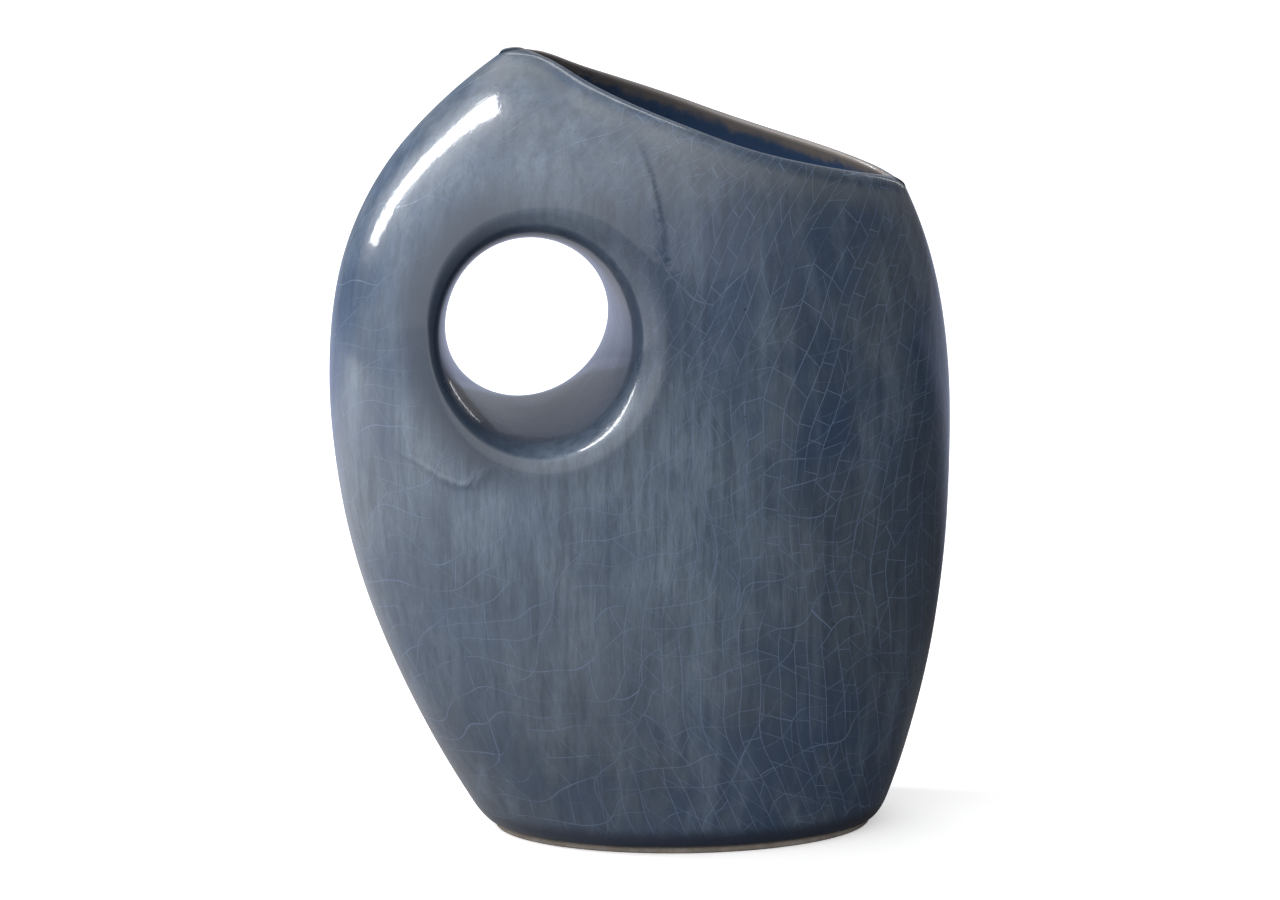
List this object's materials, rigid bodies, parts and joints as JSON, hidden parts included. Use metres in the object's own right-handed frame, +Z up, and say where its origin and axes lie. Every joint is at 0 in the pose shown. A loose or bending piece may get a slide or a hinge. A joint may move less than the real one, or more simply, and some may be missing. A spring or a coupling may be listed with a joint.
{
  "type": "flower vase",
  "caption": "Flattened hollow glazed vase with a slanted open mouth, rounded shoulders and a funnel-lipped hand hole through its side.",
  "frame": {"origin": "on the floor plane, under the middle of the vase's bounding box", "axes": "+Z up, the longest way; +X across the width towards the mouth's low corner; +Y through the depth, the shortest way, towards the back"},
  "size_m": [0.1959, 0.0986, 0.25],
  "materials": {
    "glaze": "glossy slate-blue crackle glaze",
    "bare_clay": "matt unglazed stoneware"
  },
  "bodies": {
    "root": {"front_wall": "glaze", "rear_wall": "glaze", "hand_hole_sleeve": "glaze", "floor_slab": "glaze", "foot_ring": "bare_clay"}
  },
  "joints": []
}
